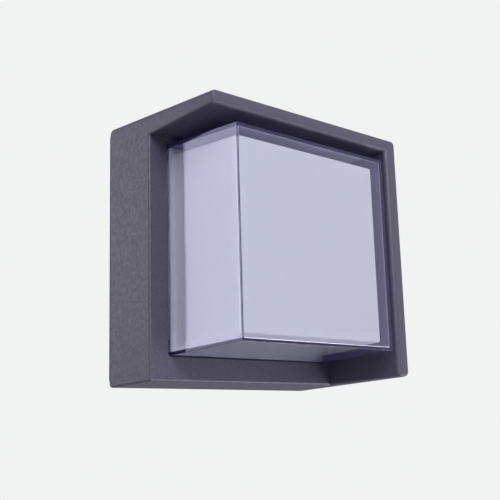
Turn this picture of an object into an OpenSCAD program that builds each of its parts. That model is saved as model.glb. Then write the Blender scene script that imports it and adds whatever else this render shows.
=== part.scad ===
// Square outdoor wall lantern: a cast base with a roof and one side wall, a clear cover
// with a white diffuser inside it, and the LED light source, driver and wiring behind them.
// The wall is the plane y = 0, the lantern stands out towards -Y, and +Z is up.
// Distances called depth are measured out from the wall.

/* [Housing] */
// Width and height of the square base at the wall
housing_w = 160; // [158:1:200]
// Depth of the base, from the wall to its front face
base_depth = 42; // [42:1:60]
// Depth of the roof and of the side wall, from the wall to their front edges
hood_depth = 100; // [80:1:130]
// Slope of the cast outer faces, in degrees
draft_angle = 2; // [1:0.5:2.5]
// Thickness of the roof at its front edge
roof_lip = 8; // [5:0.5:10]
// Thickness of the side wall at its front edge
side_lip = 9.5; // [5:0.5:10]
// Thickness of the roof and the side wall where they leave the base
hood_root = 13; // [11:0.5:13]

/* [Cover] */
// Width and height of the clear cover at the base
cover_w = 126; // [124:1:128]
// How far the clear cover stands out in front of the hood
cover_proud = 3; // [0:0.5:10]
// Wall thickness of the clear cover
cover_wall = 1.8; // [1.6:0.1:2.5]
// Slope of the sides of the cover and of the diffuser, in degrees
cover_draft = 2.5; // [1:0.5:3]
// Gap between the cover and the side wall, at the base
side_gap = 4.7; // [2:0.1:5]
// Gap between the cover and the roof, at the base
roof_gap = 3.4; // [2:0.1:5]
// Width and height of the diffuser at its front
diffuser_w = 110.5; // [108:0.5:110.5]
// Space between the front of the diffuser and the clear cover
diffuser_gap = 4.1; // [1:0.1:6]

/* [Light source] */
// LEDs along each side of the square grid
led_count = 5; // [2:1:5]
// Distance between neighbouring LEDs
led_pitch = 18; // [12:1:18]

/* [Wall fixing] */
// Distance between the two slots for the wall screws
slot_spacing = 90; // [60:2:100]
// Length of each wall screw slot
slot_length = 12; // [8:1:14]
// Bore of the bush that the supply cable comes through
cable_bore = 10; // [8:0.5:11]

/* [Hidden] */
$fn = 48;

// Depths of the layers inside the base
pocket_depth = 5;
floor_thick = 4;
floor_front = base_depth - pocket_depth;
floor_back = floor_front - floor_thick;
cavity_w = housing_w - 10;

// Height of the hood's inner faces above the middle, at the base
root_in = housing_w / 2 - shrink(base_depth, draft_angle) - hood_root;

// Middle of the cover and of everything that sits in it
cover_x = root_in - side_gap - cover_w / 2;
cover_z = root_in - roof_gap - cover_w / 2;
cover_front = hood_depth + cover_proud;

// The diffuser has a flange round its back, which shows just above the front of the base
diffuser_front = cover_front - cover_wall - diffuser_gap;
diffuser_wall = 1.8;
flange_back = base_depth - 1.2;
flange_front = base_depth + 0.8;
flange_w = cover_w - 2 * cover_wall - 0.6;

// The cover's foot stands on a gasket in the pocket, held by screws into four lugs
foot_back = floor_front + 1;
seal_edge = 0.6;
lug_r = 4;
lug_reach = 2.5;
lug_front = flange_back - 0.2;
lug_place = cover_w / 2 - 5.5;
cover_screw_r = 1.5;
cover_screw_tip = lug_front - 1.1;

// The reflector tray, whose rim locates the diffuser and whose ledge carries its flange
rim_front = base_depth + 0.5;
tray_w = diffuser_size(rim_front) - 2 * diffuser_wall - 0.4;
tray_rim = 1.2;
ledge_thick = 1.2;

// The LED board and the pad under it
board_w = 100;
pad_thick = 0.5;
board_front = floor_front + pad_thick + 1.6;
tray_front = board_front + 0.8;
board_screw_place = 44;
board_screw_r = 1.5;
led_w = 3;

// Lead hole through the floor and the connector beside it on the LED board
lead_x = cover_x - 23;
lead_z = cover_z - 42;
lead_r = 0.7;
lead_pitch = 2.4;
lead_hole_r = 4;
plug_x = lead_x + 14;
plug_w = 9;

// Driver, lying on two bosses on the back of the floor
driver_w = 100;
driver_h = 36;
driver_z = 32;
driver_front = floor_back - 1;
driver_back = driver_front - 19;
driver_ear = driver_w / 2 + 5;
boss_top = floor_back - 6;
ear_thick = 1.5;
driver_screw_r = 1.5;

// Terminal block on the wall plate, three poles side by side
plate_thick = 1.5;
plate_w = cavity_w - 2;
pole_pitch = 10;
block_x = 20;
block_z = -38;
block_w = 34;
block_h = 20;
block_front = 14;
wire_depth = 8;
mains_r = 1.1;

// Tabs on the wall plate
tab_x = plate_w / 2;
tab_z = 40;
tab_thick = 1.5;
tab_depth = 7;
tab_screw_r = 2;

// Earth boss on the floor
earth_x = 50;
earth_z = -18;
earth_top = floor_back - 8;

// How far a sloping face has moved in at a given depth
function shrink(depth, angle) = depth * tan(angle);

// Width of the diffuser's outside at a given depth
function diffuser_size(depth) = diffuser_w + 2 * shrink(diffuser_front - depth, cover_draft);

// A square-cornered block between two depths, centred on x and z
module slab(x, z, w, h, from, to)
    translate([x - w / 2, -to, z - h / 2]) cube([w, to - from, h]);

// A round bar standing out from the wall between two depths
module rod(x, z, r, from, to)
    translate([x, -from, z]) rotate([90, 0, 0]) cylinder(r = r, h = to - from);

// An outline of y and z, drawn out along x between two places
module along_x(from, to, points)
    translate([from, 0, 0]) rotate([90, 0, 90]) linear_extrude(height = to - from)
        polygon(points);

// An outline of x and y, drawn out along z between two heights
module along_z(from, to, points)
    translate([0, 0, from]) linear_extrude(height = to - from) polygon(points);

// A square block whose four sides slope in towards the front
module tapered(x, z, w, from, to, angle) {
    a = w / 2;
    b = a - shrink(to - from, angle);
    intersection() {
        along_z(z - w, z + w, [[x - a, -from], [x + a, -from], [x + b, -to], [x - b, -to]]);
        along_x(x - w, x + w, [[-from, z - a], [-from, z + a], [-to, z + b], [-to, z - b]]);
    }
}

// A square ring between two depths
module ring(x, z, outer, inner, from, to)
    difference() {
        slab(x, z, outer, outer, from, to);
        slab(x, z, inner, inner, from - 1, to + 1);
    }

// One round bar at each corner of a square
module at_corners(x, z, reach, r, from, to)
    for (i = [-1, 1], j = [-1, 1]) rod(x + i * reach, z + j * reach, r, from, to);

// A pan-head screw driven from the wall side, seated at a given depth, with a cross recess
module back_screw(x, z, r, head_r, head_h, seat, length)
    difference() {
        union() {
            rod(x, z, head_r, seat - head_h, seat);
            rod(x, z, r, seat - 0.5, seat + length);
        }
        recess(x, z, head_r, seat - head_h - 1, seat - head_h + head_h / 2);
    }

// The same screw driven from the front
module front_screw(x, z, r, head_r, head_h, seat, length)
    difference() {
        union() {
            rod(x, z, head_r, seat, seat + head_h);
            rod(x, z, r, seat - length, seat + 0.5);
        }
        recess(x, z, head_r, seat + head_h / 2, seat + head_h + 1);
    }

module recess(x, z, head_r, from, to) {
    slab(x, z, head_r * 1.1, 0.7, from, to);
    slab(x, z, 0.7, head_r * 1.1, from, to);
}

function unit(v) = v / norm(v);

// A round bar from one point to another
module bar(p, q, r) {
    v = unit(q - p);
    translate(p) rotate([0, acos(v[2]), atan2(v[1], v[0])])
        cylinder(r = r, h = norm(q - p), $fn = 24);
}

// Angle by which a route turns at one of its points, and the length the bend takes up
function route_step(points, i) = unit(points[i + 1] - points[i]);
function turn_angle(points, i) = acos(route_step(points, i - 1) * route_step(points, i));
function bend_cut(points, i, bend) =
    i == 0 || i == len(points) - 1 ? 0 : bend * tan(turn_angle(points, i) / 2);

// A wire along a route of points, with a round bend of a given radius at each
module wire(points, r, bend)
    union() {
        for (i = [0 : len(points) - 2]) {
            d = route_step(points, i);
            bar(points[i] + d * bend_cut(points, i, bend),
                points[i + 1] - d * bend_cut(points, i + 1, bend), r);
        }
        for (i = [1 : len(points) - 2]) {
            d = route_step(points, i - 1);
            side = unit(cross(cross(d, route_step(points, i)), d));
            axis = cross(d, side);
            centre = points[i] - d * bend_cut(points, i, bend) + side * bend;
            multmatrix([[-side[0], d[0], axis[0], centre[0]],
                        [-side[1], d[1], axis[1], centre[1]],
                        [-side[2], d[2], axis[2], centre[2]],
                        [0, 0, 0, 1]])
                rotate_extrude(angle = turn_angle(points, i)) translate([bend, 0])
                    circle(r = r, $fn = 24);
        }
    }

// Place of one LED in the grid
function led_place(i) = (i - (led_count - 1) / 2) * led_pitch;

// Side of the front pocket, with room for the gasket's edge round the cover
pocket_w = cover_w + 2 * seal_edge;

module hood_shape() {
    big = housing_w;
    union() {
        slab(0, 0, big, big, 0, base_depth);
        // roof, thinner towards its front edge
        along_x(-big, big, [[0, big], [-hood_depth, big], [-hood_depth, roof_inner()],
                            [-base_depth, root_in], [0, root_in]]);
        // side wall, thinner towards its front edge
        along_z(-big, big, [[big, 0], [big, -hood_depth], [side_inner(), -hood_depth],
                            [root_in, -base_depth], [root_in, 0]]);
    }
}

// Outline of the hollow in the roof or the side wall, narrowing towards the front
core_reach = housing_w / 2 - 14;
core_front = hood_depth - 8;
function core_outline(inner) =
    [[-(floor_back - 1), root_in + 3],
     [-core_front, (inner + root_in) / 2 + 4],
     [-core_front, outer_reach(core_front) - 3.5],
     [-(floor_back - 1), outer_reach(floor_back) - 4]];
function outer_reach(depth) = housing_w / 2 - shrink(depth, draft_angle);

function roof_inner() = housing_w / 2 - shrink(hood_depth, draft_angle) - roof_lip;
function side_inner() = housing_w / 2 - shrink(hood_depth, draft_angle) - side_lip;

module housing() color([0.21, 0.2, 0.25])
    difference() {
        union() {
            difference() {
                intersection() {
                    tapered(0, 0, housing_w, 0, hood_depth, draft_angle);
                    hood_shape();
                }
                slab(cover_x, cover_z, pocket_w, pocket_w, floor_front, base_depth + 1);
                slab(0, 0, cavity_w, cavity_w, -1, floor_back);
                // the roof and the side wall are cored from behind
                along_x(-core_reach, core_reach, core_outline(roof_inner()));
                along_z(-core_reach, core_reach,
                        [for (p = core_outline(side_inner())) [p[1], p[0]]]);
            }
            // bosses for the driver and the earth screw, rooted in the floor
            for (s = [-1, 1]) rod(s * driver_ear, driver_z, 4, boss_top, floor_back + 1);
            rod(earth_x, earth_z, 4.5, earth_top, floor_back + 1);
            // pegs that take the wall plate's tabs
            for (s = [-1, 1]) translate([-cavity_w / 2 - 1, -tab_depth, s * tab_z])
                rotate([0, 90, 0]) cylinder(r = 1.9, h = 5);
        }
        at_corners(cover_x, cover_z, lug_place, lug_r + 0.3, floor_back - 1, floor_front + 1);
        at_corners(cover_x, cover_z, board_screw_place, board_screw_r,
                   floor_back - 1, floor_front + 1);
        rod(lead_x, lead_z, lead_hole_r, floor_back - 1, floor_front + 1);
        for (s = [-1, 1])
            rod(s * driver_ear, driver_z, driver_screw_r, boss_top - 1, floor_back - 1);
        rod(earth_x, earth_z, 2, earth_top - 1, floor_back - 1);
        // retaining screw holes, counterbored from the outside
        for (s = [-1, 1]) translate([cavity_w / 2 - 1, -tab_depth, s * tab_z])
            rotate([0, 90, 0]) {
                cylinder(r = 2.2, h = 20);
                translate([0, 0, 3.6]) cylinder(r = 4.2, h = 20);
            }
        // groove for the foam seal
        ring(0, 0, seal_outer(), seal_inner(), -1, 1.5);
    }

function seal_outer() = housing_w - 2.6;
function seal_inner() = housing_w - 7.4;

// The clear box with its foot and the lugs inside its corners, which reach into the floor
module clear_cover() color([0.75, 0.78, 0.88, 0.45]) {
    inner_w = cover_w - 2 * cover_wall;
    difference() {
        union() {
            tapered(cover_x, cover_z, cover_w, base_depth, cover_front, cover_draft);
            slab(cover_x, cover_z, cover_w, cover_w, foot_back, base_depth);
            at_corners(cover_x, cover_z, lug_place, lug_r, floor_front - lug_reach, foot_back);
        }
        difference() {
            union() {
                tapered(cover_x, cover_z, inner_w, base_depth, cover_front - cover_wall,
                        cover_draft);
                slab(cover_x, cover_z, inner_w, inner_w, foot_back, base_depth);
            }
            at_corners(cover_x, cover_z, lug_place, lug_r, foot_back, lug_front);
        }
        at_corners(cover_x, cover_z, lug_place, cover_screw_r, floor_front - 5,
                   cover_screw_tip + 0.5);
    }
}

module cover_gasket() color([0.1, 0.1, 0.12])
    difference() {
        union() {
            ring(cover_x, cover_z, pocket_w, cover_w, floor_front, base_depth - 0.4);
            ring(cover_x, cover_z, cover_w, cover_w - 2 * cover_wall, floor_front, foot_back);
        }
        at_corners(cover_x, cover_z, lug_place, lug_r, floor_front - 1, foot_back + 1);
    }

module cover_screws() color([0.7, 0.7, 0.72])
    for (i = [-1, 1], j = [-1, 1])
        back_screw(cover_x + i * lug_place, cover_z + j * lug_place, cover_screw_r,
                   5.2, 2.2, floor_back, cover_screw_tip - floor_back);

module diffuser() color([0.93, 0.93, 0.96])
    difference() {
        union() {
            tapered(cover_x, cover_z, diffuser_size(flange_back), flange_back,
                    diffuser_front, cover_draft);
            slab(cover_x, cover_z, flange_w, flange_w, flange_back, flange_front);
        }
        tapered(cover_x, cover_z, diffuser_size(flange_back - 1) - 2 * diffuser_wall,
                flange_back - 1, diffuser_front - diffuser_wall, cover_draft);
    }

module reflector_tray() color([0.96, 0.96, 0.96])
    difference() {
        union() {
            ring(cover_x, cover_z, tray_w, tray_w - 2 * tray_rim, floor_front, rim_front);
            ring(cover_x, cover_z, flange_w, tray_w - 2 * tray_rim,
                 flange_back - ledge_thick, flange_back);
            slab(cover_x, cover_z, tray_w - 1, tray_w - 1, board_front, tray_front);
        }
        at_corners(cover_x, cover_z, lug_place, lug_r + 1.2, floor_front - 1, rim_front + 1);
        at_corners(cover_x, cover_z, board_screw_place, board_screw_r,
                   board_front - 1, tray_front + 1);
        for (i = [0 : led_count - 1], j = [0 : led_count - 1])
            slab(cover_x + led_place(i), cover_z + led_place(j), led_w + 0.6, led_w + 0.6,
                 board_front - 1, tray_front + 1);
        rod(lead_x, lead_z, lead_hole_r, board_front - 1, tray_front + 1);
        slab(plug_x, lead_z, plug_w + 0.6, 7.6, board_front - 1, tray_front + 1);
    }

module led_board() color([0.92, 0.92, 0.9])
    difference() {
        slab(cover_x, cover_z, board_w, board_w, floor_front + pad_thick, board_front);
        at_corners(cover_x, cover_z, board_screw_place, board_screw_r,
                   floor_front, board_front + 1);
        rod(lead_x, lead_z, lead_hole_r, floor_front, board_front + 1);
    }

module led_chips() color([0.98, 0.85, 0.35])
    for (i = [0 : led_count - 1], j = [0 : led_count - 1])
        slab(cover_x + led_place(i), cover_z + led_place(j), led_w, led_w,
             board_front, board_front + 0.8);

module board_connector() color([0.95, 0.95, 0.93])
    difference() {
        slab(plug_x, lead_z, plug_w, 7, board_front, board_front + 4);
        for (s = [-1, 1])
            bar([plug_x - plug_w, -(board_front + 2), lead_z + s * lead_pitch / 2],
                [plug_x, -(board_front + 2), lead_z + s * lead_pitch / 2], lead_r);
    }

module thermal_pad() color([0.55, 0.6, 0.65])
    difference() {
        slab(cover_x, cover_z, board_w - 2, board_w - 2, floor_front, floor_front + pad_thick);
        at_corners(cover_x, cover_z, board_screw_place, board_screw_r + 0.5,
                   floor_front - 1, floor_front + 2);
        rod(lead_x, lead_z, lead_hole_r, floor_front - 1, floor_front + 2);
    }

module board_screws() color([0.75, 0.75, 0.77])
    for (i = [-1, 1], j = [-1, 1])
        front_screw(cover_x + i * board_screw_place, cover_z + j * board_screw_place,
                    board_screw_r, 3, 2, tray_front, tray_front - floor_back - 0.5);

module lead_grommet() color([0.12, 0.12, 0.12])
    difference() {
        union() {
            rod(lead_x, lead_z, lead_hole_r, floor_back - 0.5, floor_front);
            rod(lead_x, lead_z, lead_hole_r + 1.5, floor_back - 1.5, floor_back);
        }
        for (s = [-1, 1])
            rod(lead_x, lead_z + s * lead_pitch / 2, lead_r, floor_back - 3, floor_front + 1);
    }

// Depth at which each output lead runs down the back of the floor
function lead_run(s) = driver_front - 8 - (1 - s) * lead_pitch / 2;

// A lead from the driver, through the floor and into the upper or lower side of the connector
module output_lead(s) {
    z = lead_z + s * lead_pitch / 2;
    wire([[lead_x, -lead_run(s), driver_z - driver_h / 2 + 2],
          [lead_x, -lead_run(s), z],
          [lead_x, -(board_front + 2), z],
          [plug_x - 1.5, -(board_front + 2), z]], lead_r, 3);
}

module plus_lead() color([0.75, 0.12, 0.1]) output_lead(1);

module minus_lead() color([0.1, 0.1, 0.1]) output_lead(-1);

module driver_case() color([0.93, 0.93, 0.92])
    difference() {
        union() {
            slab(0, driver_z, driver_w, driver_h, driver_back + 1.5, driver_front);
            slab(0, driver_z, 2 * driver_ear + 12, 12, boss_top - ear_thick, boss_top);
        }
        slab(0, driver_z, driver_w - 3, driver_h - 3, driver_back, driver_front - 1.5);
        for (s = [-1, 1]) {
            rod(s * driver_ear, driver_z, driver_screw_r, boss_top - 3, boss_top + 1);
            lead_exit(lead_x, lead_run(s), lead_r);
        }
        for (i = [0, 1]) lead_exit(pole_x(i), mains_depth(), mains_r);
    }

// Hole in the driver's lower wall for one lead
module lead_exit(x, depth, r)
    translate([x, -depth, driver_z - driver_h / 2 - 1]) cylinder(r = r, h = 4);

module driver_lid() color([0.88, 0.88, 0.87])
    slab(0, driver_z, driver_w, driver_h, driver_back, driver_back + 1.5);

// Circuit board of the driver with its transformer, capacitor, coils and terminals
module driver_board() color([0.1, 0.35, 0.2]) {
    top = driver_front - 3.1;
    union() {
        slab(0, driver_z, driver_w - 4, driver_h - 4, top, driver_front - 1.5);
        slab(0, driver_z, 18, 20, top - 12, top);
        rod(24, driver_z + 5, 5, top - 12, top);
        rod(38, driver_z + 4, 3.5, top - 8, top);
        slab(34, driver_z - 7, 12, 7, top - 7, top);
        slab(-22, driver_z + 3, 10, 14, top - 6, top);
        rod(-38, driver_z + 5, 4, top - 10, top);
        slab(-38, driver_z - 6, 10, 8, top - 5, top);
    }
}

module driver_screws() color([0.75, 0.75, 0.77])
    for (s = [-1, 1])
        back_screw(s * driver_ear, driver_z, driver_screw_r, 3, 2.2, boss_top - ear_thick, 6);

function pole_x(i) = block_x + (i - 1) * pole_pitch;
function mains_depth() = driver_back + 8;

// A lead from the driver down to one pole of the terminal block
module mains_lead(i)
    wire([[pole_x(i), -mains_depth(), driver_z - driver_h / 2 + 2],
          [pole_x(i), -mains_depth(), block_z + block_h / 2 + 6],
          [pole_x(i), -wire_depth, block_z + block_h / 2 + 6],
          [pole_x(i), -wire_depth, block_z + block_h / 2 - 6]], mains_r, 4);

module live_lead() color([0.35, 0.2, 0.1]) mains_lead(0);

module neutral_lead() color([0.15, 0.3, 0.7]) mains_lead(1);

module terminal_block() color([0.95, 0.94, 0.9])
    difference() {
        union() {
            slab(block_x, block_z, block_w, block_h, plate_thick, block_front - 2);
            for (i = [0 : 2])
                slab(pole_x(i), block_z, pole_pitch - 2.5, block_h - 2, plate_thick,
                     block_front);
        }
        for (i = [0 : 2]) {
            translate([pole_x(i), -wire_depth, block_z - block_h])
                cylinder(r = sleeve_r(), h = 2 * block_h);
            for (s = [-1, 1])
                rod(pole_x(i), block_z + s * 4.5, 2, wire_depth, block_front + 1);
        }
        rod(block_x - pole_pitch / 2, block_z, 1.25, 0, block_front);
        rod(block_x - pole_pitch / 2, block_z, 2.1, block_front - 2, block_front + 1);
    }

function sleeve_r() = 2.6;

module terminal_sleeves() color([0.8, 0.68, 0.35])
    for (i = [0 : 2])
        difference() {
            translate([pole_x(i), -wire_depth, block_z - block_h / 2 + 1])
                cylinder(r = sleeve_r(), h = block_h - 2);
            translate([pole_x(i), -wire_depth, block_z - block_h])
                cylinder(r = 1.5, h = 2 * block_h);
            for (s = [-1, 1]) rod(pole_x(i), block_z + s * 4.5, 2, wire_depth, block_front);
        }

module terminal_screws() color([0.72, 0.72, 0.74])
    for (i = [0 : 2], s = [-1, 1])
        difference() {
            rod(pole_x(i), block_z + s * 4.5, 2, wire_depth + 1.6, block_front - 1);
            slab(pole_x(i), block_z + s * 4.5, 3, 0.6, block_front - 2, block_front);
        }

module block_screw() color([0.72, 0.72, 0.74])
    front_screw(block_x - pole_pitch / 2, block_z, 1.25, 1.9, 1.5, block_front - 2,
                block_front - 2);

module wall_plate() color([0.7, 0.71, 0.73])
    difference() {
        slab(0, 0, plate_w, plate_w, 0, plate_thick);
        for (s = [-1, 1]) slot(s * slot_spacing / 2);
        rod(0, 0, cable_bore / 2 + 2, -1, plate_thick + 1);
        rod(block_x - pole_pitch / 2, block_z, 1.25, -1, plate_thick + 1);
    }

// Angle tabs welded on the plate: the left pair hangs on the pegs, the right pair is threaded
module plate_tabs() color([0.68, 0.69, 0.71])
    for (i = [-1, 1], j = [-1, 1])
        difference() {
            union() {
                slab(i * (tab_x - tab_thick / 2), j * tab_z, tab_thick, 16,
                     plate_thick, tab_depth + 5);
                slab(i * (tab_x - 4), j * tab_z, 8, 16, plate_thick, plate_thick + 1.2);
            }
            translate([i * tab_x, -tab_depth, j * tab_z]) rotate([0, 90, 0])
                cylinder(r = i < 0 ? 2.2 : tab_screw_r, h = 6, center = true);
        }

// A slot along x with round ends, through the plate
module slot(x) {
    reach = slot_length / 2 - 2.5;
    slab(x, 0, 2 * reach, 5, -1, plate_thick + 1);
    for (s = [-1, 1]) rod(x + s * reach, 0, 2.5, -1, plate_thick + 1);
}

module cable_bush() color([0.14, 0.14, 0.14])
    difference() {
        union() {
            rod(0, 0, cable_bore / 2 + 2, 0, 8);
            rod(0, 0, cable_bore / 2 + 3.5, plate_thick, plate_thick + 1.5);
        }
        rod(0, 0, cable_bore / 2, -1, 9);
    }

module wall_seal() color([0.2, 0.2, 0.2]) ring(0, 0, seal_outer(), seal_inner(), 0, 1.5);

// Screws through the side wall into the wall plate's tabs
module retaining_screws() color([0.72, 0.72, 0.74])
    for (s = [-1, 1])
        translate([0, -tab_depth, s * tab_z]) rotate([0, 90, 0])
            difference() {
                union() {
                    translate([0, 0, cavity_w / 2 + 2.6]) cylinder(r = 3.7, h = 1.9);
                    translate([0, 0, cavity_w / 2 - 6]) cylinder(r = tab_screw_r, h = 9);
                }
                translate([0, 0, cavity_w / 2 + 3.3])
                    cylinder(r = 1.45, h = 3, $fn = 6);
            }

// Earth lead from the terminal block to a ring under the earth screw
module earth_lead() color([0.45, 0.6, 0.15])
    difference() {
        union() {
            wire([[pole_x(2), -wire_depth, block_z + block_h / 2 - 6],
                  [pole_x(2), -wire_depth, earth_z],
                  [pole_x(2), -(earth_top - 1.6), earth_z],
                  [earth_x - 5, -(earth_top - 1.6), earth_z]], mains_r, 4);
            bar([earth_x - 7.5, -(earth_top - 1.6), earth_z],
                [earth_x - 3.7, -(earth_top - 1.6), earth_z], 1.6);
            rod(earth_x, earth_z, 4, earth_top - 0.8, earth_top);
        }
        rod(earth_x, earth_z, 2, earth_top - 3, earth_top + 1);
    }

module earth_screw() color([0.78, 0.66, 0.34])
    back_screw(earth_x, earth_z, 2, 3.3, 2.4, earth_top - 0.8, 6);

housing();
clear_cover();
cover_gasket();
cover_screws();
diffuser();
reflector_tray();
led_board();
led_chips();
board_connector();
thermal_pad();
board_screws();
lead_grommet();
plus_lead();
minus_lead();
driver_case();
driver_lid();
driver_board();
driver_screws();
live_lead();
neutral_lead();
terminal_block();
terminal_sleeves();
terminal_screws();
block_screw();
wall_plate();
plate_tabs();
cable_bush();
wall_seal();
retaining_screws();
earth_lead();
earth_screw();
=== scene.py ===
"""Looks of a square outdoor wall lantern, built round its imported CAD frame.

Lengths are in metres. The wall is y = 0, the lantern stands out towards -Y and +Z is up. A depth is
measured out from the wall. The housing, the covers and everything that shows from behind are rebuilt
with rounded edges; the pieces shut inside keep their CAD shape and get their own materials.
"""

import math

import bmesh
import bpy
from mathutils import Matrix, Vector


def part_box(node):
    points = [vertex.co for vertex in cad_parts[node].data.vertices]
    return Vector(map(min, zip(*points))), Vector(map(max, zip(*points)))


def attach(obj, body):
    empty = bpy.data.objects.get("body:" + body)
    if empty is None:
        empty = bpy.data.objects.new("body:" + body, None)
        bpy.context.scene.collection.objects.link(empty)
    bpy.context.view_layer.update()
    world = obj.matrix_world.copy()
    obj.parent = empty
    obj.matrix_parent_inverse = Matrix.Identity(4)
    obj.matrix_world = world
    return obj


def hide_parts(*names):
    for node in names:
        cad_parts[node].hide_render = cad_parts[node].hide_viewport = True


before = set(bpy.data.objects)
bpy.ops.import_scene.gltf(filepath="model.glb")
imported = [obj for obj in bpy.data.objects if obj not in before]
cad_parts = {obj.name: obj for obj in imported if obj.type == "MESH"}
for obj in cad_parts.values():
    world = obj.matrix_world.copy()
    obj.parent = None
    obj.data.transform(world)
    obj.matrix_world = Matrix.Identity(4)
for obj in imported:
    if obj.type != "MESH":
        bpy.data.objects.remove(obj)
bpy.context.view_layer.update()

MM = 0.001

# ---------------------------------------------------------------- sizes


def middle(node):
    """Middle of a node's box."""
    low, high = (Vector(c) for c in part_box(node))
    return (low + high) / 2


def half_width(node):
    """Half of a node's width along X."""
    return (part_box(node)[1][0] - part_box(node)[0][0]) / 2


def back_of(node):
    """Depth at which a node begins."""
    return -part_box(node)[1][1]


def front_of(node):
    """Depth at which a node ends."""
    return -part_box(node)[0][1]


def at(x, z, depth):
    """The point at x and z, a depth out from the wall."""
    return Vector((x, -depth, z))


PAST = 1 * MM                               # how far a cutter reaches past a face
CORNERS = [(i, j) for i in (-1, 1) for j in (-1, 1)]

# Housing: a drafted base with a pocket in its front and a hollow behind the floor
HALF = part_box("housing")[1][0]              # half the width of the base at the wall
HOOD = front_of("housing")                  # depth of the roof and the side wall
SEAL_SUNK = 0.4 * MM                        # how far the gasket lies below the front of the base
BASE = front_of("cover_gasket") + SEAL_SUNK
FLOOR_FRONT = back_of("thermal_pad")
FLOOR_BACK = FLOOR_FRONT - 4 * MM
CAVITY = HALF - 5 * MM                      # half the width of the hollow behind the floor
CAVITY_CORNER = 5 * MM
POCKET_CORNER = 1.6 * MM
DRAFT = math.radians(2)
ROOF_LIP = 8 * MM
SIDE_LIP = 9.5 * MM
HOOD_ROOT = 13 * MM


def outer(depth):
    """Half the width of the drafted housing at a depth."""
    return HALF - depth * math.tan(DRAFT)


ROOT_IN = outer(BASE) - HOOD_ROOT           # the hood's inner faces, where they leave the base
ROOF_IN = outer(HOOD) - ROOF_LIP            # the same at the front edge of the roof
SIDE_IN = outer(HOOD) - SIDE_LIP            # and at the front edge of the side wall

# The hollows of the roof and the side wall, cored from behind
CORE_REACH = HALF - 14 * MM
CORE_FRONT = HOOD - 8 * MM
CORE_IN_ROOT, CORE_IN_FRONT = 3 * MM, 4 * MM
CORE_OUT_ROOT, CORE_OUT_FRONT = 4 * MM, 3.5 * MM

# Foam seal in its groove round the rim
GROOVE_OUT = half_width("wall_seal")
GROOVE_IN = GROOVE_OUT - 2.4 * MM
GROOVE_DEPTH = 1.5 * MM
GROOVE_OUT_CORNER, GROOVE_IN_CORNER = 4 * MM, 2 * MM
SEAL_EDGE = 0.3 * MM

# Clear cover
COVER_DRAFT = math.radians(2.5)
COVER_WALL = 1.8 * MM
COVER_EDGE = 0.25 * MM
COVER_INNER_EDGE = 0.45 * MM
COVER_HALF = half_width("clear_cover")
COVER_FRONT = front_of("clear_cover")
COVER_FOOT = FLOOR_FRONT + 1 * MM           # the gasket lies between the foot and the floor
COVER_MID = (middle("clear_cover").x, middle("clear_cover").z)
GASKET_OUT = half_width("cover_gasket")

# Diffuser
DIFFUSER_WALL = 1.8 * MM
DIFFUSER_EDGE = 1.1 * MM
DIFFUSER_INNER_EDGE = 0.6 * MM
DIFFUSER_FRONT = front_of("diffuser")
DIFFUSER_FRONT_HALF = 55.25 * MM
FLANGE_HALF = half_width("diffuser")
FLANGE_CORNER = 0.8 * MM
FLANGE_FILLET = 0.5 * MM
FLANGE_BACK = back_of("diffuser")
FLANGE_FRONT = FLANGE_BACK + 2 * MM

# The cover's lugs, which reach through the floor, and the bores for their screws
LUG_PLACE = COVER_HALF - 5.5 * MM
LUG_R = 4 * MM
LUG_FIT = 0.3 * MM
LUG_BACK = FLOOR_FRONT - 2.5 * MM
LUG_FRONT = FLANGE_BACK - 0.2 * MM
LUG_ROOF = 0.6 * MM

# Screws and what they go into
SCREW_HEAD_R = 3 * MM
SCREW_HOLE_R = 1.5 * MM
BOARD_SCREWS = half_width("board_screws") - SCREW_HEAD_R
DRIVER_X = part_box("driver_screws")[1][0] - SCREW_HEAD_R
DRIVER_Z = middle("driver_screws").z
DRIVER_BOSS_R = 4 * MM
DRIVER_BOSS = 6 * MM
EARTH = middle("earth_screw")
EARTH_BOSS_R = 4.5 * MM
EARTH_BOSS = 8 * MM
EARTH_HOLE_R = 2 * MM
LEAD = middle("lead_grommet")
LEAD_HOLE_R = 4 * MM

# Pegs at the left and retaining screws at the right, which hold the lamp to its wall plate
TAB_Z = 40 * MM
TAB_DEPTH = 7 * MM
PEG_R = 1.9 * MM
PEG_REACH = 4 * MM
SIDE_HOLE_R = 2.2 * MM
SIDE_SINK_R = 4.2 * MM
SIDE_SEAT = CAVITY + 2.6 * MM
SIDE_TIP = CAVITY - 6 * MM
SIDE_HEAD_R = 3.7 * MM
SIDE_HEAD = 1.9 * MM
SIDE_HEAD_EDGE = 0.8 * MM
SIDE_SHANK_R = 2 * MM
SIDE_TIP_R = 1.6 * MM
SIDE_POINT = 0.6 * MM
SOCKET_R = 1.45 * MM
SOCKET_FLOOR = 0.7 * MM

# Wall plate and the bush in its middle
PLATE = 1.5 * MM
PLATE_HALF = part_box("wall_plate")[1][0]
PLATE_CORNER = 4 * MM
PLATE_EDGE = 0.25 * MM
SLOT_X = 45 * MM
SLOT_R = 2.5 * MM
SLOT_REACH = 3.5 * MM
BLOCK_SCREW = middle("block_screw")
BLOCK_SCREW_R = 1.25 * MM
BUSH_LENGTH = front_of("cable_bush")
BUSH_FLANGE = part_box("cable_bush")[1][0]
BUSH_BORE = BUSH_FLANGE - 3.5 * MM
BUSH_NECK = BUSH_BORE + 2 * MM

# ---------------------------------------------------------------- mesh tools

MERGE = 0.002 * MM
SHARP_CORNER = 0.02 * MM
SMOOTH_ANGLE = math.radians(35)


def make_object(name, bm):
    """An object from a bmesh, with its normals outward."""
    bmesh.ops.recalc_face_normals(bm, faces=bm.faces)
    mesh = bpy.data.meshes.new(name)
    bm.to_mesh(mesh)
    bm.free()
    obj = bpy.data.objects.new(name, mesh)
    bpy.context.scene.collection.objects.link(obj)
    return obj


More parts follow.
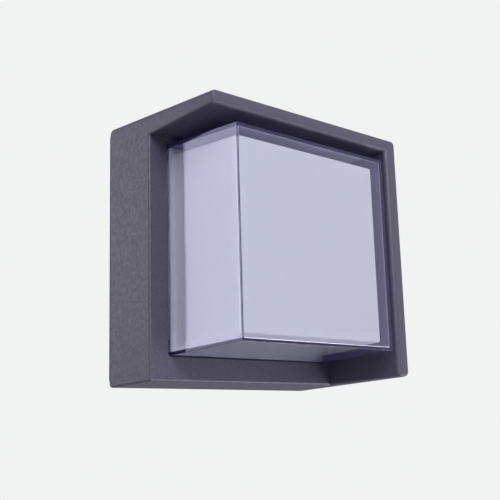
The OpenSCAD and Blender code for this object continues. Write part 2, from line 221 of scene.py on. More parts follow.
def settle(obj):
    """Applies an object's modifiers to its mesh."""
    graph = bpy.context.evaluated_depsgraph_get()
    graph.update()
    mesh = bpy.data.meshes.new_from_object(obj.evaluated_get(graph))
    obj.modifiers.clear()
    old, obj.data = obj.data, mesh
    bpy.data.meshes.remove(old)


def clean(obj):
    """Merges doubled points and turns every face outward."""
    bm = bmesh.new()
    bm.from_mesh(obj.data)
    bmesh.ops.remove_doubles(bm, verts=bm.verts, dist=MERGE)
    bmesh.ops.dissolve_degenerate(bm, dist=MERGE, edges=bm.edges)
    bmesh.ops.recalc_face_normals(bm, faces=bm.faces)
    bm.to_mesh(obj.data)
    bm.free()


def soften(obj):
    """Smooth shading with flat faces kept flat and edges over the smooth angle kept sharp."""
    bpy.ops.object.select_all(action="DESELECT")
    obj.select_set(True)
    bpy.context.view_layer.objects.active = obj
    bpy.ops.object.shade_smooth_by_angle(angle=SMOOTH_ANGLE)
    normals = obj.modifiers.new("normals", "WEIGHTED_NORMAL")
    normals.keep_sharp = True


def bevel(obj, width, segments, angle):
    """Rounds every edge sharper than the angle."""
    mod = obj.modifiers.new("bevel", "BEVEL")
    mod.width = width
    mod.segments = segments
    mod.limit_method = "ANGLE"
    mod.angle_limit = math.radians(angle)
    mod.use_clamp_overlap = True
    settle(obj)


def bevel_by_faces(obj, widths, segments=5):
    """Rounds edges by the pair of face marks they lie between; widths maps a pair to a radius."""
    bm = bmesh.new()
    bm.from_mesh(obj.data)
    mark = bm.faces.layers.int["mark"]
    weight = bm.edges.layers.float.new("bevel_weight_edge")
    widest = max(widths.values())
    for edge in bm.edges:
        pair = frozenset(f[mark] for f in edge.link_faces)
        edge[weight] = widths.get(pair, 0) / widest
    bm.to_mesh(obj.data)
    bm.free()
    mod = obj.modifiers.new("bevel", "BEVEL")
    mod.width = widest
    mod.segments = segments
    mod.limit_method = "WEIGHT"
    settle(obj)


def combine(obj, name, bm, operation):
    """Adds or cuts a second solid, made from a bmesh, and cleans the result."""
    other = make_object(name, bm)
    mod = obj.modifiers.new("boolean", "BOOLEAN")
    mod.operation = operation
    mod.solver = "EXACT"
    mod.object = other
    settle(obj)
    bpy.data.objects.remove(other)
    clean(obj)


def add_bar(bm, centre, axis, length, r, sides):
    """A round bar about its centre, turned a quarter about an axis."""
    place = Matrix.Translation(centre) @ Matrix.Rotation(math.pi / 2, 4, axis)
    bmesh.ops.create_cone(bm, cap_ends=True, segments=sides, radius1=r, radius2=r,
                          depth=length, matrix=place)


def add_rod(bm, x, z, r, near, far, sides=40):
    """A round bar between two depths."""
    add_bar(bm, at(x, z, (near + far) / 2), "X", far - near, r, sides)


def add_side_rod(bm, start, end, z, depth, r, sides=40):
    """A round bar along X between two places."""
    add_bar(bm, at((start + end) / 2, z, depth), "Y", end - start, r, sides)


def join_loops(bm, a, b):
    """Faces from one closed row of points to the next."""
    for k in range(len(a)):
        n = (k + 1) % len(a)
        bm.faces.new((a[k], a[n], b[n], b[k]))


def prism(first, last):
    """A closed solid between two outlines with as many points each."""
    bm = bmesh.new()
    loops = [[bm.verts.new(point) for point in outline] for outline in (first, last)]
    join_loops(bm, *loops)
    for loop in loops:
        bm.faces.new(loop)
    return bm


def rounded_square(half, r, steps=5):
    """Points of a square with round corners, as (x, z) about its middle."""
    points = []
    for turn, (sx, sz) in enumerate(((1, 1), (-1, 1), (-1, -1), (1, -1))):
        for k in range(steps + 1):
            a = math.pi / 2 * (turn + k / steps)
            points.append((sx * (half - r) + r * math.cos(a), sz * (half - r) + r * math.sin(a)))
    return points


def loft(rings, centre, closed_ends=True):
    """A bmesh through rounded squares: rings holds (half width, corner radius, depth) from the
    back to the front, or round again to the first when the ends are not closed."""
    bm = bmesh.new()
    loops = []
    for half, r, depth in rings:
        loops.append([bm.verts.new(at(centre[0] + x, centre[1] + z, depth))
                      for x, z in rounded_square(half, max(r, SHARP_CORNER))])
    for a, b in zip(loops, loops[1:]):
        join_loops(bm, a, b)
    if closed_ends:
        bm.faces.new(loops[0])
        bm.faces.new(loops[-1])
    else:
        join_loops(bm, loops[-1], loops[0])
    return bm


def rounded_end(half, r, edge, front, steps=6):
    """Rings of a loft that round its front edge over."""
    rings = []
    for k in range(steps + 1):
        a = math.pi / 2 * k / steps
        rings.append((half - edge * (1 - math.cos(a)), r, front - edge * (1 - math.sin(a))))
    return rings


def add_spin(bm, profile, place, sides):
    """A closed solid turned about a line. The profile holds (radius, distance along the line)
    round its section, and a radius of 0 lies on the line; place makes a point of two offsets
    from the line and the distance along it."""
    rings = []
    for r, along in profile:
        count = sides if r else 1
        rings.append([bm.verts.new(place(r * math.cos(a), r * math.sin(a), along))
                      for a in (2 * math.pi * k / sides for k in range(count))])
    pairs = list(zip(rings, rings[1:]))
    if len(rings[0]) > 1:
        pairs.append((rings[-1], rings[0]))
    for a, b in pairs:
        for k in range(sides):
            n = (k + 1) % sides
            corners = [a[k % len(a)], a[n % len(a)], b[n % len(b)], b[k % len(b)]]
            unique = list(dict.fromkeys(corners))
            if len(unique) > 2:
                bm.faces.new(unique)


# ---------------------------------------------------------------- material tools

def material(name, colour, roughness, metallic=0.0, **sockets):
    """A Principled material with one value on each socket that is named."""
    mat = bpy.data.materials.new(name)
    mat.use_nodes = True
    shader = mat.node_tree.nodes["Principled BSDF"]
    shader.inputs["Base Color"].default_value = (*colour, 1)
    shader.inputs["Roughness"].default_value = roughness
    shader.inputs["Metallic"].default_value = metallic
    for socket, value in sockets.items():
        shader.inputs[socket.replace("_", " ")].default_value = value
    return mat


def new_node(mat, kind, **values):
    """Adds a node and sets its sockets by name."""
    node = mat.node_tree.nodes.new(kind)
    for socket, value in values.items():
        node.inputs[socket.replace("_", " ")].default_value = value
    return node


def link(mat, source, target):
    """Joins an output to an input."""
    mat.node_tree.links.new(source, target)


def plug(mat, socket, source):
    """Joins an output to a socket of the material's shader."""
    link(mat, source, mat.node_tree.nodes["Principled BSDF"].inputs[socket])


def place_in_object(mat, stretch=(1, 1, 1)):
    """Object coordinates, scaled along each axis."""
    coords = new_node(mat, "ShaderNodeTexCoord")
    mapping = new_node(mat, "ShaderNodeMapping", Scale=stretch)
    link(mat, coords.outputs["Object"], mapping.inputs["Vector"])
    return mapping.outputs["Vector"]


def noise(mat, place, scale, detail=3.0):
    """Smooth noise from 0 to 1, most of it near the middle."""
    node = new_node(mat, "ShaderNodeTexNoise", Scale=scale, Detail=detail)
    link(mat, place, node.inputs["Vector"])
    return node.outputs["Fac"]


def spread(mat, value, low, high, start=0.3, end=0.7):
    """Maps a value from start..end to low..high."""
    node = new_node(mat, "ShaderNodeMapRange", From_Min=start, From_Max=end, To_Min=low,
                    To_Max=high)
    link(mat, value, node.inputs["Value"])
    return node.outputs["Result"]


def mix_in(tree, factor, first, second):
    """A mix of two colours, each a value or a socket, by a factor socket."""
    node = tree.nodes.new("ShaderNodeMix")
    node.data_type = "RGBA"
    tree.links.new(factor, node.inputs["Factor"])
    for name, colour in (("A", first), ("B", second)):
        target = [s for s in node.inputs if s.name == name and s.type == "RGBA"][0]
        if isinstance(colour, tuple):
            target.default_value = (*colour, 1)
        else:
            tree.links.new(colour, target)
    return [s for s in node.outputs if s.type == "RGBA"][0]


def blend_colour(mat, factor, first, second):
    """The same mix in a material."""
    return mix_in(mat.node_tree, factor, first, second)


def bump(mat, height, strength, distance, before=None):
    """Surface relief from a height, on top of an earlier relief if there is one."""
    node = new_node(mat, "ShaderNodeBump", Strength=strength, Distance=distance)
    link(mat, height, node.inputs["Height"])
    if before is not None:
        link(mat, before, node.inputs["Normal"])
    return node.outputs["Normal"]


def shade(colour, factor):
    """A colour made darker or lighter."""
    return tuple(min(1.0, c * factor) for c in colour)


# ---------------------------------------------------------------- materials

def powder_coat():
    """Dark violet-grey textured powder coat on a casting."""
    base = (0.057, 0.050, 0.082)
    mat = material("powder_coat", base, 0.5, Specular_IOR_Level=0.75)
    place = place_in_object(mat)
    broad = spread(mat, noise(mat, place, 26), 0, 1)
    fine = noise(mat, place, 1300, 2)
    tone = blend_colour(mat, broad, shade(base, 0.95), shade(base, 1.05))
    grain = blend_colour(mat, spread(mat, fine, 0, 1), shade(base, 0.6), shade(base, 1.45))
    specks = spread(mat, noise(mat, place, 400, 2), 0.4, 1.0)
    plug(mat, "Base Color", blend_colour(mat, specks, tone, grain))
    plug(mat, "Roughness", spread(mat, noise(mat, place, 420), 0.44, 0.58))
    peel = bump(mat, noise(mat, place, 520, 2), 0.6, 0.15 * MM)
    plug(mat, "Normal", bump(mat, fine, 0.6, 0.12 * MM, before=peel))
    return mat


def clear_plastic():
    """Clear moulded polycarbonate with a faint violet tint that deepens along its edges, and a faint
    violet glow painted in by emission, though it is no lamp.
    """
    mat = material("clear_plastic", (0.98, 0.985, 0.997), 0.0, IOR=1.585,
                   Transmission_Weight=1.0, Specular_Tint=(0.80, 0.78, 1.0, 1),
                   # The emission paints a faint violet glow into the clear plastic that lifts its
                   # dark edges towards indigo; it is painted light, not a lamp.
                   Emission_Color=(0.30, 0.19, 1.0, 1), Emission_Strength=0.010)
    place = place_in_object(mat)
    plug(mat, "Roughness", spread(mat, noise(mat, place, 60, 4), 0.0, 0.02))
    tint = new_node(mat, "ShaderNodeVolumeAbsorption", Color=(0.32, 0.22, 0.86, 1), Density=30)
    link(mat, tint.outputs["Volume"], mat.node_tree.nodes["Material Output"].inputs["Volume"])
    return mat


def opal_plastic():
    """White diffusing plastic."""
    base = (0.95, 0.98, 0.99)
    mat = material("opal_plastic", base, 0.4, IOR=1.5, Subsurface_Weight=0.25,
                   Subsurface_Scale=2 * MM, Subsurface_Radius=(1.0, 1.0, 1.1))
    place = place_in_object(mat)
    cloud = spread(mat, noise(mat, place, 14), 0, 1)
    plug(mat, "Base Color", blend_colour(mat, cloud, shade(base, 0.985), shade(base, 1.015)))
    plug(mat, "Roughness", spread(mat, noise(mat, place, 300, 2), 0.36, 0.46))
    plug(mat, "Normal", bump(mat, noise(mat, place, 1200, 2), 0.12, 0.05 * MM))
    return mat


def moulded(name, colour, roughness=0.5, grain=700, variation=0.06):
    """Moulded plastic or rubber with a fine grain and slightly uneven colour."""
    mat = material(name, colour, roughness)
    place = place_in_object(mat)
    cloud = spread(mat, noise(mat, place, 90, 4), 0, 1)
    plug(mat, "Base Color",
         blend_colour(mat, cloud, shade(colour, 1 - variation), shade(colour, 1 + variation)))
    plug(mat, "Roughness",
         spread(mat, noise(mat, place, grain / 2, 2), roughness - 0.07, roughness + 0.07))
    plug(mat, "Normal", bump(mat, noise(mat, place, grain), 0.5, 0.05 * MM))
    return mat


def plated(name, colour, roughness, spangle=120):
    """Plated or rolled metal with crystals in its colour and a fine relief."""
    mat = material(name, colour, roughness, metallic=1.0)
    place = place_in_object(mat)
    cells = new_node(mat, "ShaderNodeTexVoronoi", Scale=spangle)
    link(mat, place, cells.inputs["Vector"])
    plug(mat, "Base Color",
         blend_colour(mat, cells.outputs["Color"], shade(colour, 0.86), shade(colour, 1.1)))
    plug(mat, "Roughness",
         spread(mat, noise(mat, place, 220, 4), roughness - 0.1, roughness + 0.12))
    plug(mat, "Normal", bump(mat, noise(mat, place, 900, 2), 0.25, 0.05 * MM))
    return mat


def foam():
    """Closed-cell foam: small round cells."""
    mat = material("foam", (0.05, 0.05, 0.055), 0.9)
    place = place_in_object(mat)
    cells = new_node(mat, "ShaderNodeTexVoronoi", Scale=1400)
    link(mat, place, cells.inputs["Vector"])
    plug(mat, "Base Color",
         blend_colour(mat, cells.outputs["Distance"], (0.025, 0.025, 0.03), (0.085, 0.085, 0.09)))
    plug(mat, "Normal", bump(mat, cells.outputs["Distance"], 0.8, 0.25 * MM))
    return mat


def striped_lead():
    """Green insulation with a yellow stripe that winds round it."""
    green, yellow = (0.10, 0.36, 0.08), (0.78, 0.66, 0.05)
    mat = material("lead_earth", green, 0.4)
    place = place_in_object(mat)
    bands = new_node(mat, "ShaderNodeTexWave", Scale=170, Distortion=1.5)
    bands.bands_direction = "DIAGONAL"
    link(mat, place, bands.inputs["Vector"])
    stripe = spread(mat, bands.outputs["Fac"], 0, 1, 0.55, 0.6)
    plug(mat, "Base Color", blend_colour(mat, stripe, green, yellow))
    return mat


def circuit_board(name, lacquer, track):
    """Lacquered circuit board with tracks showing through."""
    mat = material(name, lacquer, 0.35)
    place = place_in_object(mat)
    tracks = new_node(mat, "ShaderNodeTexBrick", Scale=95, Mortar_Size=0.03)
    link(mat, place, tracks.inputs["Vector"])
    plug(mat, "Base Color", blend_colour(mat, tracks.outputs["Fac"], lacquer, track))
    plug(mat, "Roughness", spread(mat, noise(mat, place, 300), 0.28, 0.45))
    return mat


COAT = powder_coat()
CLEAR = clear_plastic()
OPAL = opal_plastic()
RUBBER = moulded("black_rubber", (0.022, 0.022, 0.028), 0.62, grain=500)
GASKET = moulded("gasket_rubber", (0.045, 0.040, 0.066), 0.6, grain=500)
STEEL = plated("zinc_steel", (0.62, 0.63, 0.66), 0.34)
SCREW_STEEL = plated("screw_steel", (0.66, 0.66, 0.68), 0.28, spangle=500)
BRASS = plated("brass", (0.78, 0.58, 0.27), 0.3, spangle=350)
WHITE = moulded("white_plastic", (0.82, 0.82, 0.80), 0.45, grain=600)
REFLECTOR = moulded("reflector_white", (0.90, 0.90, 0.90), 0.35, grain=900, variation=0.02)
FOAM = foam()
NODE_MATERIALS = {
    "cover_screws": SCREW_STEEL, "board_screws": SCREW_STEEL, "driver_screws": SCREW_STEEL,
    "terminal_screws": SCREW_STEEL, "block_screw": SCREW_STEEL, "plate_tabs": STEEL,
    "earth_screw": BRASS, "terminal_sleeves": BRASS,
    "reflector_tray": REFLECTOR, "board_connector": WHITE,
    "driver_case": WHITE, "terminal_block": WHITE,
    "driver_lid": moulded("lid_plastic", (0.74, 0.74, 0.73), 0.5, grain=500),
    "led_board": circuit_board("board_white", (0.86, 0.86, 0.84), (0.70, 0.69, 0.64)),
    "led_chips": moulded("led_phosphor", (0.86, 0.63, 0.12), 0.3, grain=1500, variation=0.15),
    "driver_board": circuit_board("board_green", (0.03, 0.17, 0.08), (0.10, 0.32, 0.12)),
    "thermal_pad": moulded("heat_pad", (0.30, 0.33, 0.38), 0.8, grain=1200),
    "lead_grommet": RUBBER,
    "plus_lead": moulded("lead_red", (0.55, 0.03, 0.025), 0.4, grain=900),
    "minus_lead": moulded("lead_black", (0.02, 0.02, 0.02), 0.4, grain=900),
    "live_lead": moulded("lead_brown", (0.17, 0.07, 0.03), 0.4, grain=900),
    "neutral_lead": moulded("lead_blue", (0.03, 0.12, 0.45), 0.4, grain=900),
    "earth_lead": striped_lead(),
}


def dress(obj, mat):
    """Gives an object one material on all its faces."""
    obj.data.materials.clear()
    obj.data.materials.append(mat)


def stand_for(obj, node, mat):
    """obj shows in place of a CAD node, with its own material, smooth shading and the root body as
    its parent.
    """
    dress(obj, mat)
    soften(obj)
    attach(obj, "root")
    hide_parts(node)


# ---------------------------------------------------------------- camera
# The camera looks from the lower left up at the open corner.

VIEW_AZIMUTH = math.radians(-41.5)
VIEW_ELEVATION = math.radians(-11.9)
VIEW_ROLL = math.radians(-1.66)
VIEW_PLACE = Vector((-0.3647, -0.4524, -0.1104))
VIEW_LENS = 63.9                             # mm, on the sensor's width
VIEW_SENSOR = 36                             # mm
VIEW_NEAREST = 0.01

camera = bpy.data.objects.new("camera", bpy.data.cameras.new("camera"))
camera.data.lens = VIEW_LENS
camera.data.sensor_width = VIEW_SENSOR
camera.data.clip_start = VIEW_NEAREST
turn = (Matrix.Rotation(VIEW_AZIMUTH, 4, "Z")
        @ Matrix.Rotation(math.pi / 2 - VIEW_ELEVATION, 4, "X")
        @ Matrix.Rotation(VIEW_ROLL, 4, "Z"))
camera.matrix_world = Matrix.Translation(VIEW_PLACE) @ turn
bpy.context.scene.collection.objects.link(camera)
bpy.context.scene.camera = camera
bpy.context.scene.view_settings.view_transform = "Standard"

# ---------------------------------------------------------------- floor and light

FLOOR_DROP = 1.2
FLOOR_R = 1.6

floor_mesh = bmesh.new()
bmesh.ops.create_circle(floor_mesh, cap_ends=True, segments=96, radius=FLOOR_R,
                        matrix=Matrix.Translation((0, 0, -FLOOR_DROP)))
floor = make_object("floor", floor_mesh)
dress(floor, moulded("floor_paint", (0.80, 0.80, 0.81), 0.8, grain=40, variation=0.01))

# The studio round the lantern: the brightness of its light from each of its eight corners, as
# (left or right, front or back, below or above), and the plain backdrop that the camera sees.
ROOM = {
    (-1, -1, -1): 0.16, (1, -1, -1): 0.80, (-1, 1, -1): 0.34, (1, 1, -1): 0.30,
    (-1, -1, 1): 0.62, (1, -1, 1): 0.80, (-1, 1, 1): 0.45, (1, 1, 1): 0.35,
}
ROOM_TINT = (0.98, 0.98, 1.07)
ROOM_BLEND = 0.35
BACKDROP = (0.885, 0.888, 0.893)


def studio_world():
    """Soft light that changes smoothly from corner to corner of the studio."""
    world = bpy.data.worlds.new("studio")
    world.use_nodes = True
    tree = world.node_tree
    direction = tree.nodes.new("ShaderNodeTexCoord")
    split = tree.nodes.new("ShaderNodeSeparateXYZ")
    tree.links.new(direction.outputs["Generated"], split.inputs["Vector"])
    colours = {corner: shade(ROOM_TINT, level) for corner, level in ROOM.items()}
    for axis in range(3):
        step = tree.nodes.new("ShaderNodeMapRange")
        step.interpolation_type = "SMOOTHSTEP"
        step.inputs["From Min"].default_value = -ROOM_BLEND
        step.inputs["From Max"].default_value = ROOM_BLEND
        tree.links.new(split.outputs[axis], step.inputs["Value"])
        colours = {key[1:]: mix_in(tree, step.outputs["Result"], colours[(-1, *key[1:])],
                                   colours[(1, *key[1:])])
                   for key in colours if key[0] == -1}
    rays = tree.nodes.new("ShaderNodeLightPath")
    seen = mix_in(tree, rays.outputs["Is Camera Ray"], colours[()], BACKDROP)
    tree.links.new(seen, tree.nodes["Background"].inputs["Color"])
    bpy.context.scene.world = world


studio_world()

LIGHT_DISTANCE = 1.5
LIGHT_SIZE = 0.8
LILAC = (0.91, 0.92, 1.0)


def soft_light(name, azimuth, elevation, power):
    """A square soft light aimed at the middle of the lantern."""
    data = bpy.data.lights.new(name, "AREA")
    data.size = LIGHT_SIZE
    data.energy = power
    data.color = LILAC
    lamp = bpy.data.objects.new(name, data)
    az, el = math.radians(azimuth), math.radians(elevation)
    away = Vector((math.sin(az) * math.cos(el), -math.cos(az) * math.cos(el), math.sin(el)))
    lamp.location = at(0, 0, HOOD / 2) + away * LIGHT_DISTANCE
    lamp.rotation_euler = away.to_track_quat("Z", "Y").to_euler()
    lamp.visible_camera = False
    bpy.context.scene.collection.objects.link(lamp)


soft_light("key", -30, 32, 17.0)
soft_light("side", -140, 12, 4.1)
soft_light("low", 60, -42, 11.0)

# ---------------------------------------------------------------- housing

LEFT, RIGHT, TOP, BOTTOM, BACK, FRONT, FACE, UNDER, INNER = range(1, 10)

# Radius of each edge, by the two faces it lies between
CRISP, SOFT, BROAD, WIDE = 1.2 * MM, 2 * MM, 3 * MM, 4 * MM
HOUSING_ROUNDS = {
    CRISP: ((BOTTOM, LEFT), (FRONT, LEFT), (FACE, LEFT), (FACE, UNDER), (UNDER, INNER),
            (UNDER, LEFT), (INNER, BOTTOM)),
    SOFT: ((FRONT, RIGHT), (FRONT, TOP), (FRONT, BOTTOM), (FACE, BOTTOM)),
    BROAD: ((TOP, LEFT), (FRONT, UNDER), (FRONT, INNER)),
    WIDE: ((BACK, LEFT), (BACK, RIGHT), (BACK, TOP), (BACK, BOTTOM), (TOP, RIGHT),
           (BOTTOM, RIGHT)),
}


def housing_body():
    """The base with its roof and side wall as one solid, with rounded edges."""
    bm = bmesh.new()
    mark = bm.faces.layers.int.new("mark")
    b, f, h = outer(0), outer(BASE), outer(HOOD)
    back = [bm.verts.new(at(x * b, z * b, 0)) for x, z in ((-1, -1), (1, -1), (1, 1), (-1, 1))]
    face = [bm.verts.new(at(x, z, BASE))
            for x, z in ((-f, -f), (ROOT_IN, -f), (ROOT_IN, ROOT_IN), (-f, ROOT_IN))]
    lip = [bm.verts.new(at(x, z, HOOD))
           for x, z in ((SIDE_IN, -h), (h, -h), (h, h), (-h, h), (-h, ROOF_IN),
                        (SIDE_IN, ROOF_IN))]
    for name, corners in (
        (BACK, back),
        (FACE, face),
        (FRONT, lip),
        (LEFT, (back[0], face[0], face[3], lip[4], lip[3], back[3])),
        (BOTTOM, (back[0], face[0], face[1], lip[0], lip[1], back[1])),
        (TOP, (back[3], lip[3], lip[2], back[2])),
        (RIGHT, (back[1], lip[1], lip[2], back[2])),
        (UNDER, (face[3], face[2], lip[5], lip[4])),
        (INNER, (face[1], lip[0], lip[5], face[2])),
    ):
        bm.faces.new(corners)[mark] = name
    body = make_object("housing_casting", bm)
    bevel_by_faces(body, {frozenset(pair): r for r, pairs in HOUSING_ROUNDS.items()
                          for pair in pairs})
    return body


def hollow_out(body):
    """Cuts the pocket for the cover's foot, the space behind the floor and the seal's groove."""
    combine(body, "pocket", loft([(GASKET_OUT, POCKET_CORNER, FLOOR_FRONT),
                                  (GASKET_OUT, POCKET_CORNER, BASE + 2 * PAST)], COVER_MID),
            "DIFFERENCE")
    combine(body, "cavity", loft([(CAVITY, CAVITY_CORNER, -PAST),
                                  (CAVITY, CAVITY_CORNER, FLOOR_BACK)], (0, 0)), "DIFFERENCE")
    groove = loft([(GROOVE_OUT, GROOVE_OUT_CORNER, -PAST),
                   (GROOVE_OUT, GROOVE_OUT_CORNER, GROOVE_DEPTH),
                   (GROOVE_IN, GROOVE_IN_CORNER, GROOVE_DEPTH),
                   (GROOVE_IN, GROOVE_IN_CORNER, -PAST)], (0, 0), closed_ends=False)
    combine(body, "groove", groove, "DIFFERENCE")


def core_hood(body):
    """Hollows the roof and then the side wall from behind."""
    for inner, across in ((ROOF_IN, True), (SIDE_IN, False)):
        section = [(ROOT_IN + CORE_IN_ROOT, FLOOR_BACK - PAST),
                   ((inner + ROOT_IN) / 2 + CORE_IN_FRONT, CORE_FRONT),
                   (outer(CORE_FRONT) - CORE_OUT_FRONT, CORE_FRONT),
                   (outer(FLOOR_BACK) - CORE_OUT_ROOT, FLOOR_BACK - PAST)]
        ends = [[at(u, v, d) if across else at(v, u, d) for v, d in section]
                for u in (-CORE_REACH, CORE_REACH)]
        combine(body, "core", prism(*ends), "DIFFERENCE")


def add_bosses(body):
    """Bosses for the driver and the earth screw, and the pegs that carry the wall plate."""
    bosses = bmesh.new()
    for s in (-1, 1):
        add_rod(bosses, s * DRIVER_X, DRIVER_Z, DRIVER_BOSS_R, FLOOR_BACK - DRIVER_BOSS,
                FLOOR_BACK + PAST)
        add_side_rod(bosses, -CAVITY - PAST, -CAVITY + PEG_REACH, s * TAB_Z, TAB_DEPTH, PEG_R)
    add_rod(bosses, EARTH.x, EARTH.z, EARTH_BOSS_R, FLOOR_BACK - EARTH_BOSS, FLOOR_BACK + PAST)
    combine(body, "bosses", bosses, "UNION")


def drill(body):
    """Holes for lugs, board screws, leads, driver and earth screws, and the sunk side screws."""
    holes = bmesh.new()
    through = (FLOOR_BACK - PAST, FLOOR_FRONT + PAST)
    for i, j in CORNERS:
        for place, r in ((LUG_PLACE, LUG_R + LUG_FIT), (BOARD_SCREWS, SCREW_HOLE_R)):
            add_rod(holes, COVER_MID[0] + i * place, COVER_MID[1] + j * place, r, *through)
    add_rod(holes, LEAD.x, LEAD.z, LEAD_HOLE_R, *through)
    add_rod(holes, EARTH.x, EARTH.z, EARTH_HOLE_R, FLOOR_BACK - EARTH_BOSS - PAST,
            FLOOR_BACK - PAST)
    for s in (-1, 1):
        add_rod(holes, s * DRIVER_X, DRIVER_Z, SCREW_HOLE_R, FLOOR_BACK - DRIVER_BOSS - PAST,
                FLOOR_BACK - PAST)
    combine(body, "holes", holes, "DIFFERENCE")
    for r, start in ((SIDE_HOLE_R, CAVITY - PAST), (SIDE_SINK_R, SIDE_SEAT)):
        side_holes = bmesh.new()
        for s in (-1, 1):
            add_side_rod(side_holes, start, HALF + 5 * PAST, s * TAB_Z, TAB_DEPTH, r)
        combine(body, "side_holes", side_holes, "DIFFERENCE")


housing = housing_body()
for step in (hollow_out, core_hood, add_bosses, drill):
    step(housing)
stand_for(housing, "housing", COAT)

# ---------------------------------------------------------------- clear cover


def cover_half(depth):
    """Half the cover's width at a depth: straight to the front of the base, then sloping."""
    return COVER_HALF - max(0, depth - BASE) * math.tan(COVER_DRAFT)


def cover_shell():
    """The clear box: straight foot, sloping sides and a flat front, the same wall all over."""
    shell = make_object("cover_moulding", loft(
        [(COVER_HALF, COVER_EDGE, COVER_FOOT), (COVER_HALF, COVER_EDGE, BASE)]
        + rounded_end(cover_half(COVER_FRONT), COVER_EDGE, COVER_EDGE, COVER_FRONT), COVER_MID))
    half, edge, front = COVER_HALF - COVER_WALL, COVER_INNER_EDGE, COVER_FRONT - COVER_WALL
    inside = loft([(half, edge, COVER_FOOT - PAST), (half, edge, BASE)]
                  + rounded_end(cover_half(front) - COVER_WALL, edge, edge, front), COVER_MID)
    combine(shell, "cover_inside", inside, "DIFFERENCE")
    lugs, bores = bmesh.new(), bmesh.new()
    for i, j in CORNERS:
        place = (COVER_MID[0] + i * LUG_PLACE, COVER_MID[1] + j * LUG_PLACE)
        add_rod(lugs, *place, LUG_R, LUG_BACK, LUG_FRONT)
        add_rod(bores, *place, SCREW_HOLE_R, LUG_BACK - PAST, LUG_FRONT - LUG_ROOF)
    combine(shell, "lugs", lugs, "UNION")
    combine(shell, "bores", bores, "DIFFERENCE")
    return shell


stand_for(cover_shell(), "clear_cover", CLEAR)

# ---------------------------------------------------------------- diffuser


def diffuser_half(depth):
    """Half the diffuser's width at a depth; it slopes as the cover does."""
    return DIFFUSER_FRONT_HALF + (DIFFUSER_FRONT - depth) * math.tan(COVER_DRAFT)


def diffuser_shell():
    """The white box inside the cover, open at the back, with a flange round its foot."""
    shell = make_object("diffuser_moulding", loft(
        [(FLANGE_HALF, FLANGE_CORNER, FLANGE_BACK), (FLANGE_HALF, FLANGE_CORNER, FLANGE_FRONT),
         (diffuser_half(FLANGE_FRONT) + FLANGE_FILLET, DIFFUSER_EDGE, FLANGE_FRONT),
         (diffuser_half(FLANGE_FRONT), DIFFUSER_EDGE, FLANGE_FRONT + FLANGE_FILLET)]
        + rounded_end(diffuser_half(DIFFUSER_FRONT), DIFFUSER_EDGE, DIFFUSER_EDGE,
                      DIFFUSER_FRONT), COVER_MID))
    inside = loft([(diffuser_half(depth) - DIFFUSER_WALL, DIFFUSER_INNER_EDGE, depth)
                   for depth in (FLANGE_BACK - PAST, DIFFUSER_FRONT - DIFFUSER_WALL)], COVER_MID)
    combine(shell, "diffuser_inside", inside, "DIFFERENCE")
    return shell


stand_for(diffuser_shell(), "diffuser", OPAL)

# ---------------------------------------------------------------- gasket, seal and bush


def gasket_ring():
    """An L-shaped ring under and round the cover's foot, notched for the lugs."""
    bead = 0.2 * MM                         # how much its free edges are rounded off
    under, round_foot, outside = 0.7 * MM, 1.1 * MM, 1.4 * MM
    top = BASE - SEAL_SUNK
    ring = make_object("gasket_moulding", loft([
        (COVER_HALF - COVER_WALL, under, FLOOR_FRONT), (GASKET_OUT, outside, FLOOR_FRONT),
        (GASKET_OUT, outside, top - bead), (GASKET_OUT - bead, outside - bead / 2, top),
        (COVER_HALF + bead, round_foot + bead / 2, top), (COVER_HALF, round_foot, top - bead),
        (COVER_HALF, round_foot, COVER_FOOT), (COVER_HALF - COVER_WALL, under, COVER_FOOT)],
        COVER_MID, closed_ends=False))
    gaps = bmesh.new()
    for i, j in CORNERS:
        add_rod(gaps, COVER_MID[0] + i * LUG_PLACE, COVER_MID[1] + j * LUG_PLACE, LUG_R,
                FLOOR_FRONT - PAST, COVER_FOOT + PAST)
    combine(ring, "gasket_gaps", gaps, "DIFFERENCE")
    return ring


def seal_strip():
    """A foam strip that fills the groove and has its edges taken off at the wall."""
    corner_step = 0.2 * MM
    return make_object("seal_strip", loft([
        (GROOVE_OUT, GROOVE_OUT_CORNER, SEAL_EDGE),
        (GROOVE_OUT - SEAL_EDGE, GROOVE_OUT_CORNER - corner_step, 0),
        (GROOVE_IN + SEAL_EDGE, GROOVE_IN_CORNER + corner_step, 0),
        (GROOVE_IN, GROOVE_IN_CORNER, SEAL_EDGE),
        (GROOVE_IN, GROOVE_IN_CORNER, GROOVE_DEPTH),
        (GROOVE_OUT, GROOVE_OUT_CORNER, GROOVE_DEPTH)], (0, 0), closed_ends=False))


def bush_moulding():
    """A rubber bush: a neck through the plate, a flange on it and a tapered sleeve."""
    lead_in = 0.5 * MM
    wall = 1.2 * MM
    taper = 0.4 * MM
    flange_back = PLATE + 1.5 * MM
    profile = [(BUSH_BORE, lead_in), (BUSH_BORE + lead_in, 0), (BUSH_NECK, 0),
               (BUSH_NECK, PLATE), (BUSH_FLANGE, PLATE), (BUSH_FLANGE, flange_back - lead_in),
               (BUSH_FLANGE - lead_in, flange_back), (BUSH_NECK, flange_back),
               (BUSH_BORE + wall + taper, BUSH_LENGTH - taper), (BUSH_BORE + wall, BUSH_LENGTH),
               (BUSH_BORE + taper, BUSH_LENGTH), (BUSH_BORE, BUSH_LENGTH - lead_in)]
    bm = bmesh.new()
    add_spin(bm, profile, at, sides=64)
    return make_object("bush_moulding", bm)


stand_for(gasket_ring(), "cover_gasket", GASKET)
stand_for(seal_strip(), "wall_seal", FOAM)
stand_for(bush_moulding(), "cable_bush", RUBBER)

# ---------------------------------------------------------------- wall plate and its screws


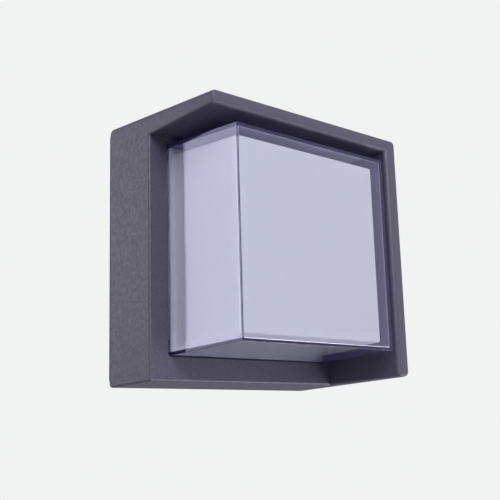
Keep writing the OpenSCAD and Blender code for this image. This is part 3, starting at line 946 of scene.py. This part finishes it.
def slot_outline(x, steps=16):
    """Outline of a slot along X with round ends, as (x, z) points."""
    points = []
    for k in range(2 * steps + 1):
        a = math.pi / 2 + math.pi * k / steps
        side = -1 if k <= steps else 1
        points.append((x + side * SLOT_REACH + SLOT_R * math.cos(a), SLOT_R * math.sin(a)))
    return points


def plate_pressing():
    """A sheet steel plate with rounded corners, two slots and the holes for bush and screw."""
    plate = make_object("plate_pressing", loft([(PLATE_HALF, PLATE_CORNER, 0),
                                                (PLATE_HALF, PLATE_CORNER, PLATE)], (0, 0)))
    through = (-PAST, PLATE + PAST)
    holes = bmesh.new()
    add_rod(holes, 0, 0, BUSH_NECK, *through, sides=64)
    add_rod(holes, BLOCK_SCREW.x, BLOCK_SCREW.z, BLOCK_SCREW_R, *through)
    combine(plate, "plate_holes", holes, "DIFFERENCE")
    for s in (-1, 1):
        ends = [[at(x, z, depth) for x, z in slot_outline(s * SLOT_X)] for depth in through]
        combine(plate, "slot", prism(*ends), "DIFFERENCE")
    bevel(plate, PLATE_EDGE, segments=2, angle=40)
    return plate


def side_screws():
    """Two pan-head screws with hexagon sockets, lying along X in the side wall."""
    profile = [(0, SIDE_TIP), (SIDE_TIP_R, SIDE_TIP), (SIDE_SHANK_R, SIDE_TIP + SIDE_POINT),
               (SIDE_SHANK_R, SIDE_SEAT), (SIDE_HEAD_R, SIDE_SEAT)]
    top = SIDE_SEAT + SIDE_HEAD
    profile += [(r, x) for r, _, x in rounded_end(SIDE_HEAD_R, 0, SIDE_HEAD_EDGE, top)]
    profile.append((0, top))
    bm = bmesh.new()
    sockets = bmesh.new()
    for s in (-1, 1):
        add_spin(bm, profile, lambda u, v, x: at(x, s * TAB_Z + v, TAB_DEPTH + u), sides=48)
        add_side_rod(sockets, SIDE_SEAT + SOCKET_FLOOR, top + PAST, s * TAB_Z, TAB_DEPTH,
                     SOCKET_R, sides=6)
    screws = make_object("side_screws", bm)
    combine(screws, "sockets", sockets, "DIFFERENCE")
    return screws


stand_for(plate_pressing(), "wall_plate", STEEL)
stand_for(side_screws(), "retaining_screws", SCREW_STEEL)

# ---------------------------------------------------------------- the pieces inside

for name, mat in NODE_MATERIALS.items():
    dress(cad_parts[name], mat)
